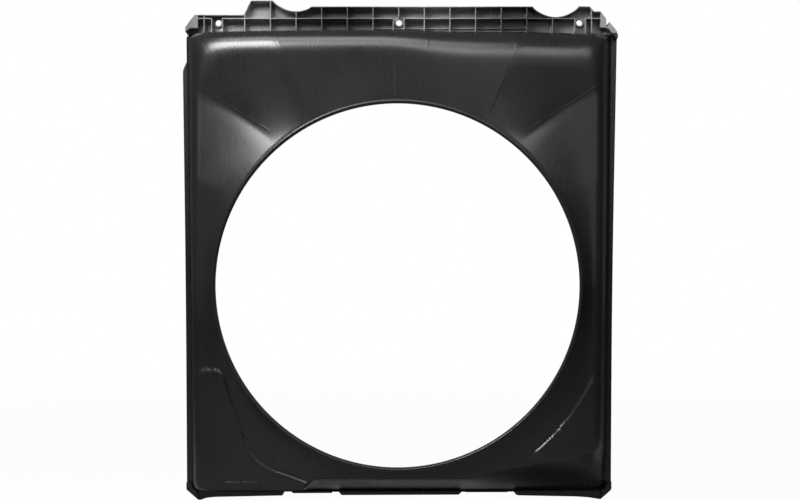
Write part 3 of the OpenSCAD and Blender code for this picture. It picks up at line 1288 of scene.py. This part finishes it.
    def lip(self) -> bpy.types.Object:
        """The lip along the rail's edge: a thin wall with a rounded front carried along the outline.

        Returns:
            The lip, from one corner pad to the other.
        """
        f = self.frame
        top = resample(self.outline(), 2.5, True)
        left, right = self.web_ends
        start = int(np.argmin(np.hypot(top[:, 0] - left + 1, top[:, 1] - self.low_edge)))
        end = int(np.argmin(np.hypot(top[:, 0] - right - 1, top[:, 1] - self.right_edge)))
        line = top[start:end + 1] if start < end else top[end:start + 1]
        normal = -left_normals(line, False)
        if normal[len(line) // 2, 1] > 0:
            normal = -normal
        nose = 1.1
        front, back = f.back_y - self.rib_depth, f.back_y - 0.4
        root = f.back_y - f.wall
        arc = np.radians([0, 30, 60, 90])
        thick, foot = self.rib_t, self.rib_t + 2.0
        nose_arc = [(nose * (1 - math.cos(a)), front + nose * (1 - math.sin(a))) for a in arc]
        section = [(0.0, back), (0.0, root), *nose_arc]
        section += [(thick - inset, y) for inset, y in nose_arc[::-1]]
        section += [(thick, root - 2.0), (thick + 0.6, root - 0.8), (foot, root), (foot, back)]
        points = carried(line, normal, section)
        quads = grid_faces(len(line), len(section), False, True)
        caps = [list(range(len(section))), list(range(len(points) - len(section), len(points)))]
        obj = mesh_object("rail_lip", points, quads.tolist() + caps, 40.0)
        flip_if_inside_out(obj)
        return obj

    def rib(self, start: tuple[float, float], end: tuple[float, float], depth: float) -> tuple:
        """One rib: a thin wall with a rounded nose and a filleted root along a straight line.

        Args:
            start: first end in X and Z.
            end: second end.
            depth: how far the rib stands out of the plane against the radiator.

        Returns:
            Its points and its faces.
        """
        f = self.frame
        a, b = np.array(start), np.array(end)
        along = (b - a) / np.linalg.norm(b - a)
        across = np.array([-along[1], along[0]])
        count = max(2, int(np.linalg.norm(b - a) / 6.0) + 1)
        line = a + (b - a) * np.linspace(0.0, 1.0, count)[:, None]
        half, nose = self.rib_t / 2, 0.9
        front, root = f.back_y - depth, f.back_y - f.wall
        arc = np.radians([0, 30, 60, 90])
        foot = half + 1.8
        right = [(foot, root + 1.5), (foot, root), (half + 0.5, root - 0.6), (half, root - 2.0)]
        right += [(half - nose * (1 - math.cos(t)), front + nose * (1 - math.sin(t))) for t in arc]
        section = right + [(-s, y) for s, y in right[::-1]]
        points = carried(line, np.broadcast_to(across, line.shape), section)
        n = len(section)
        faces = grid_faces(count, n, False, True).tolist()
        faces += [list(range(n)), list(range(len(points) - n, len(points)))]
        return points, faces

    def top_at(self, x: float) -> float:
        """Height of the rail's edge at a place along it.

        Args:
            x: the place.

        Returns:
            The height there.
        """
        path = self.outline()
        high = path[path[:, 1] > 600]
        order = np.argsort(high[:, 0])
        return float(np.interp(x, high[order, 0], high[order, 1]))

    def ribs(self) -> bpy.types.Object:
        """All ribs of the rail in one piece: uprights, boxes round the bolts, level ribs and ledge.

        Returns:
            The ribs.
        """
        f, deep = self.frame, self.rib_depth
        foot, level = f.hood_top - 2.4, self.level_z
        middle = level + self.rib_t / 2
        left, right = self.web_ends
        uprights = [(i * self.rib_pitch, foot) for i in range(-self.last_rib, self.last_rib + 1)]
        uprights[self.last_rib] = (0.0, self.hole_z + self.boss_half)
        uprights += [(x, foot) for x in self.end_ribs]
        lines = [((x, low), (x, self.top_at(x) - 1.5), deep) for x, low in uprights]
        side = self.boss_half + self.rib_t / 2
        stops = sorted(x + s for x in self.hole_xs for s in (-side, side))
        lines += [((x, foot), (x, level + self.rib_t), deep) for x in stops]
        stops = [left - 1.0, *stops, right + 1.0]
        lines += [((a, middle), (b, middle), deep) for a, b in zip(stops[0::2], stops[1::2])]
        ledge_z = f.hood_top + 15.0 + self.rib_t / 2
        lines.append(((-self.rib_pitch, ledge_z), (5 * self.rib_pitch, ledge_z), f.wall + 5.0))
        points, faces, count = [], [], 0
        for start, end, depth in lines:
            p, q = self.rib(start, end, depth)
            points.append(p)
            faces += [[v + count for v in face] for face in q]
            count += len(p)
        obj = mesh_object("rail_ribs", np.vstack(points), faces, 40.0)
        flip_if_inside_out(obj)
        return obj

    def pad_corners(self, side: Side) -> list[tuple[float, float, float]]:
        """Corners of the boxed pad in one upper corner of the rail.

        Args:
            side: which end of the rail.

        Returns:
            The corners as (x, z, setback).
        """
        f = self.frame
        th, left, right = f.top_half, *self.web_ends
        low_edge, right_edge = self.low_edge - 0.4, self.right_edge - 0.4
        if side is Side.LEFT:
            relief_x = f.left_at(f.hood_top + 6.0 - self.relief_h) + self.relief_depth
            return [
                (relief_x - 2.1, f.hood_top + 4, 1), (relief_x - 2.1, low_edge - 30.6, 2),
                (relief_x + 3.2, low_edge - 24.3, 1), (relief_x + 6.8, low_edge - 18, 2),
                (relief_x + 21.2, low_edge, 4), (left, low_edge, 0.5), (left, f.hood_top + 14, 1),
                (25 - th, f.hood_top + 14, 4),
            ]
        return [
            (right + 0.5, right_edge, 1), (th - 27.9, right_edge - 18, 2),
            (th - 27.9, right_edge - 37, 1), (th - 24, right_edge - 37.5, 1),
            (th - 20.5, right_edge - 25.6, 0.8), (th - 1.4, right_edge - 49, 4),
            (th + 1.6, right_edge - 61, 4), (th - 1, right_edge - 69, 1),
            (th - 23, f.hood_top + 14, 4), (right, f.hood_top + 16, 1),
        ]

    def hollows(self, side: Side) -> list[bpy.types.Object]:
        """Tools for the hollows behind a pad: sharp outlines moved in by a rib's thickness.

        Args:
            side: which end of the rail.

        Returns:
            One closed tool per hollow.
        """
        f = self.frame
        corners = [corner[:2] for corner in self.pad_corners(side)]
        if side is Side.LEFT:
            areas = [corners]
        else:
            areas = [[*corners[:3], corners[-1]], corners[4:-1]]
        tools = []
        for i, area in enumerate(areas):
            sharp = np.array(area)
            after = np.roll(sharp, -1, axis=0)
            turn = (sharp[:, 0] * after[:, 1] - sharp[:, 1] * after[:, 0]).sum()
            inner = sharp + left_normals(sharp, True) * math.copysign(self.rib_t, turn)
            front = f.back_y - self.rib_depth + f.wall
            tools.append(prism(f"hollow_tool_{i}", inner, f.back_y + 4.0, front))
        return tools

    def pad(self, side: Side) -> bpy.types.Object:
        """The boxed pad in one upper corner of the rail, open behind.

        Args:
            side: which end of the rail.

        Returns:
            The pad.
        """
        f = self.frame
        outline = soften(self.pad_corners(side), 5)
        pad = prism(
            f"corner_pad_{side.value}", outline, f.back_y - 0.5, f.back_y - self.rib_depth + 0.15
        )
        cut(pad, self.hollows(side))
        round_edges(pad, 0.9)
        return pad

    def lug(self, side: Side) -> bpy.types.Object:
        """The thick lug in one lower corner of the flange.

        Args:
            side: which end of the bottom edge.

        Returns:
            The lug.
        """
        f = self.frame
        sign = -1.0 if side is Side.LEFT else 1.0
        lh, foot, low = f.low_half, -f.hood_bottom, -f.hood_bottom - self.flange_drop
        tip = (lh - 30.8, low - 10.4, 1.5) if side is Side.LEFT else (lh - 27.2, low - 8.4, 1.5)
        out = 0.1 if side is Side.LEFT else 0.6
        corners = np.array([
            (lh + out, foot + 21, 1), (lh - 8.5, foot + 21, 1), (lh - 18, foot + 2, 3),
            (lh - 24, foot + 2, 1), tip, (lh + out, foot + 2.2, 4),
        ])
        corners[:, 0] *= sign
        outline = soften([tuple(c) for c in corners], 4)
        back, front = f.back_y - 0.5, f.back_y - f.wall - self.lug_h
        lug = prism(f"corner_lug_{side.value}", outline, back, front)
        round_edges(lug, 0.9)
        return lug

    def bosses(self) -> bpy.types.Object:
        """The round pads that the bolt heads bear on, turned from one closed section.

        Returns:
            The three pads in one piece.
        """
        f = self.frame
        inner, outer = self.hole_d / 2, self.hole_d / 2 + 4.0
        root, front = f.back_y - f.wall, f.back_y - f.wall - self.pad_h
        section = np.array([
            [inner, f.back_y - 0.3], [inner, front + 0.8], [inner + 0.3, front + 0.2],
            [inner + 0.9, front], [outer - 0.9, front], [outer - 0.3, front + 0.2],
            [outer, front + 0.9], [outer, root - 1.5], [outer + 0.5, root - 0.5],
            [outer + 1.6, root + 0.2], [outer + 1.6, f.back_y - 0.3],
        ])
        points, quads = [], []
        for i, x in enumerate(self.hole_xs):
            p, q = turned(section, x, self.hole_z, self.boss_turns)
            quads.append(q + i * len(p))
            points.append(p)
        return mesh_object("bolt_bosses", np.vstack(points), np.vstack(quads), 40.0)

    def build(self) -> list[bpy.types.Object]:
        """Makes every piece of the flange and the rail.

        Returns:
            The plate, the lip, the ribs, the bosses, the pads and the lugs.
        """
        plate = self.plate()
        cut(plate, self.bolt_cutters() + self.hollows(Side.LEFT) + self.hollows(Side.RIGHT))
        made = [plate, self.lip(), self.ribs(), self.bosses()]
        made += [self.pad(side) for side in Side] + [self.lug(side) for side in Side]
        return [self.dress(obj) for obj in made]


# The studio


@dataclass(frozen=True)
class Camera:
    """The photograph's viewpoint: level with the ring, a little right of its middle, in metres.

    The shift puts ring_px, the pixel straight ahead of the camera, where the photograph has it.
    """

    distance: float = 3.3
    x: float = 0.072
    z: float = 0.0
    ring_px: tuple[float, float] = (428.0, 285.4)
    metres_per_px: float = 0.002355
    image: tuple[int, int] = (800, 500)
    sensor: float = 36.0

    def build(self) -> None:
        """Places the camera and frames the object as the photograph does."""
        data = bpy.data.cameras.new("camera")
        camera = bpy.data.objects.new("camera", data)
        bpy.context.scene.collection.objects.link(camera)
        camera.location = (self.x, -self.distance, self.z)
        camera.rotation_euler = (math.pi / 2, 0.0, 0.0)
        data.sensor_width = self.sensor
        data.lens = self.sensor * self.distance / (self.image[0] * self.metres_per_px)
        data.shift_x = (self.image[0] / 2 - self.ring_px[0]) / self.image[0]
        data.shift_y = (self.ring_px[1] - self.image[1] / 2) / self.image[0]
        data.clip_end = 60.0
        bpy.context.scene.camera = camera


@dataclass(frozen=True)
class Softbox:
    """One rectangular studio lamp."""

    name: str
    at: tuple[float, float, float]
    aim: tuple[float, float, float]
    size: tuple[float, float]
    watts: float

    def build(self) -> None:
        """Hangs the lamp and turns it to its aim."""
        data = bpy.data.lights.new(self.name, "AREA")
        data.shape = "RECTANGLE"
        data.size, data.size_y = self.size
        data.energy = self.watts
        lamp = bpy.data.objects.new(self.name, data)
        bpy.context.scene.collection.objects.link(lamp)
        lamp.location = self.at
        lamp.rotation_euler = (Vector(self.aim) - Vector(self.at)).to_track_quat("-Z", "Y").to_euler()


@dataclass(frozen=True)
class Studio:
    """White floor, the lamps and the world, which is the white behind the object, in metres."""

    floor_z: float = -0.56
    reach: float = 30.0
    world_level: float = 0.08
    lamps: tuple[Softbox, ...] = (
        Softbox("over", (-0.35, -0.55, 1.75), (-0.2, 0.05, 0.5), (1.3, 0.5), 12.0),
        Softbox("left", (-0.95, -1.1, 1.45), (-0.4, 0.0, 0.4), (0.7, 0.7), 40.0),
        Softbox("right", (0.95, -1.1, 1.45), (0.4, 0.0, 0.4), (0.7, 0.7), 6.5),
        Softbox("middle", (-0.2, -1.1, 1.5), (-0.1, 0.0, 0.45), (1.4, 0.4), 11.0),
        Softbox("front", (1.2, -4.2, 1.2), (0.0, 0.0, 0.0), (1.6, 1.6), 6.0),
    )

    def build(self) -> None:
        """Builds the stage and the light."""
        paper = StudioWhite().build()
        ends = np.array([-self.reach, self.reach])
        points = np.stack([np.repeat(ends, 2), np.tile(ends, 2), np.full(4, self.floor_z)], axis=1) / MM
        floor = mesh_object("studio_floor", points, grid_faces(2, 2, False, False), 60.0)
        floor.data.materials.append(paper)
        for lamp in self.lamps:
            lamp.build()
        world = bpy.data.worlds.new("studio")
        bpy.context.scene.world = world
        world.use_nodes = True
        nodes = NodeTree(world.node_tree)
        camera_ray = nodes.add("LightPath", {}).outputs["Is Camera Ray"]
        levels = {"To Min": self.world_level, "To Max": 1.0}
        level = nodes.add("MapRange", {"Value": camera_ray, **levels}).outputs["Result"]
        nodes.put(world.node_tree.nodes["Background"], {"Color": WHITE, "Strength": level})


def main() -> None:
    """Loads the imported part, builds the moulding round it and sets up the studio."""
    logging.basicConfig(level=logging.INFO, format="%(name)s %(message)s")
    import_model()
    Camera().build()
    finish = SatinMoulding().build()
    for maker in (Hood(finish), FanRing(finish), Rail(finish)):
        maker.build()
    Studio().build()
    bpy.context.scene.view_settings.view_transform = "Standard"
    bpy.context.view_layer.update()


if __name__ == "__main__":
    main()
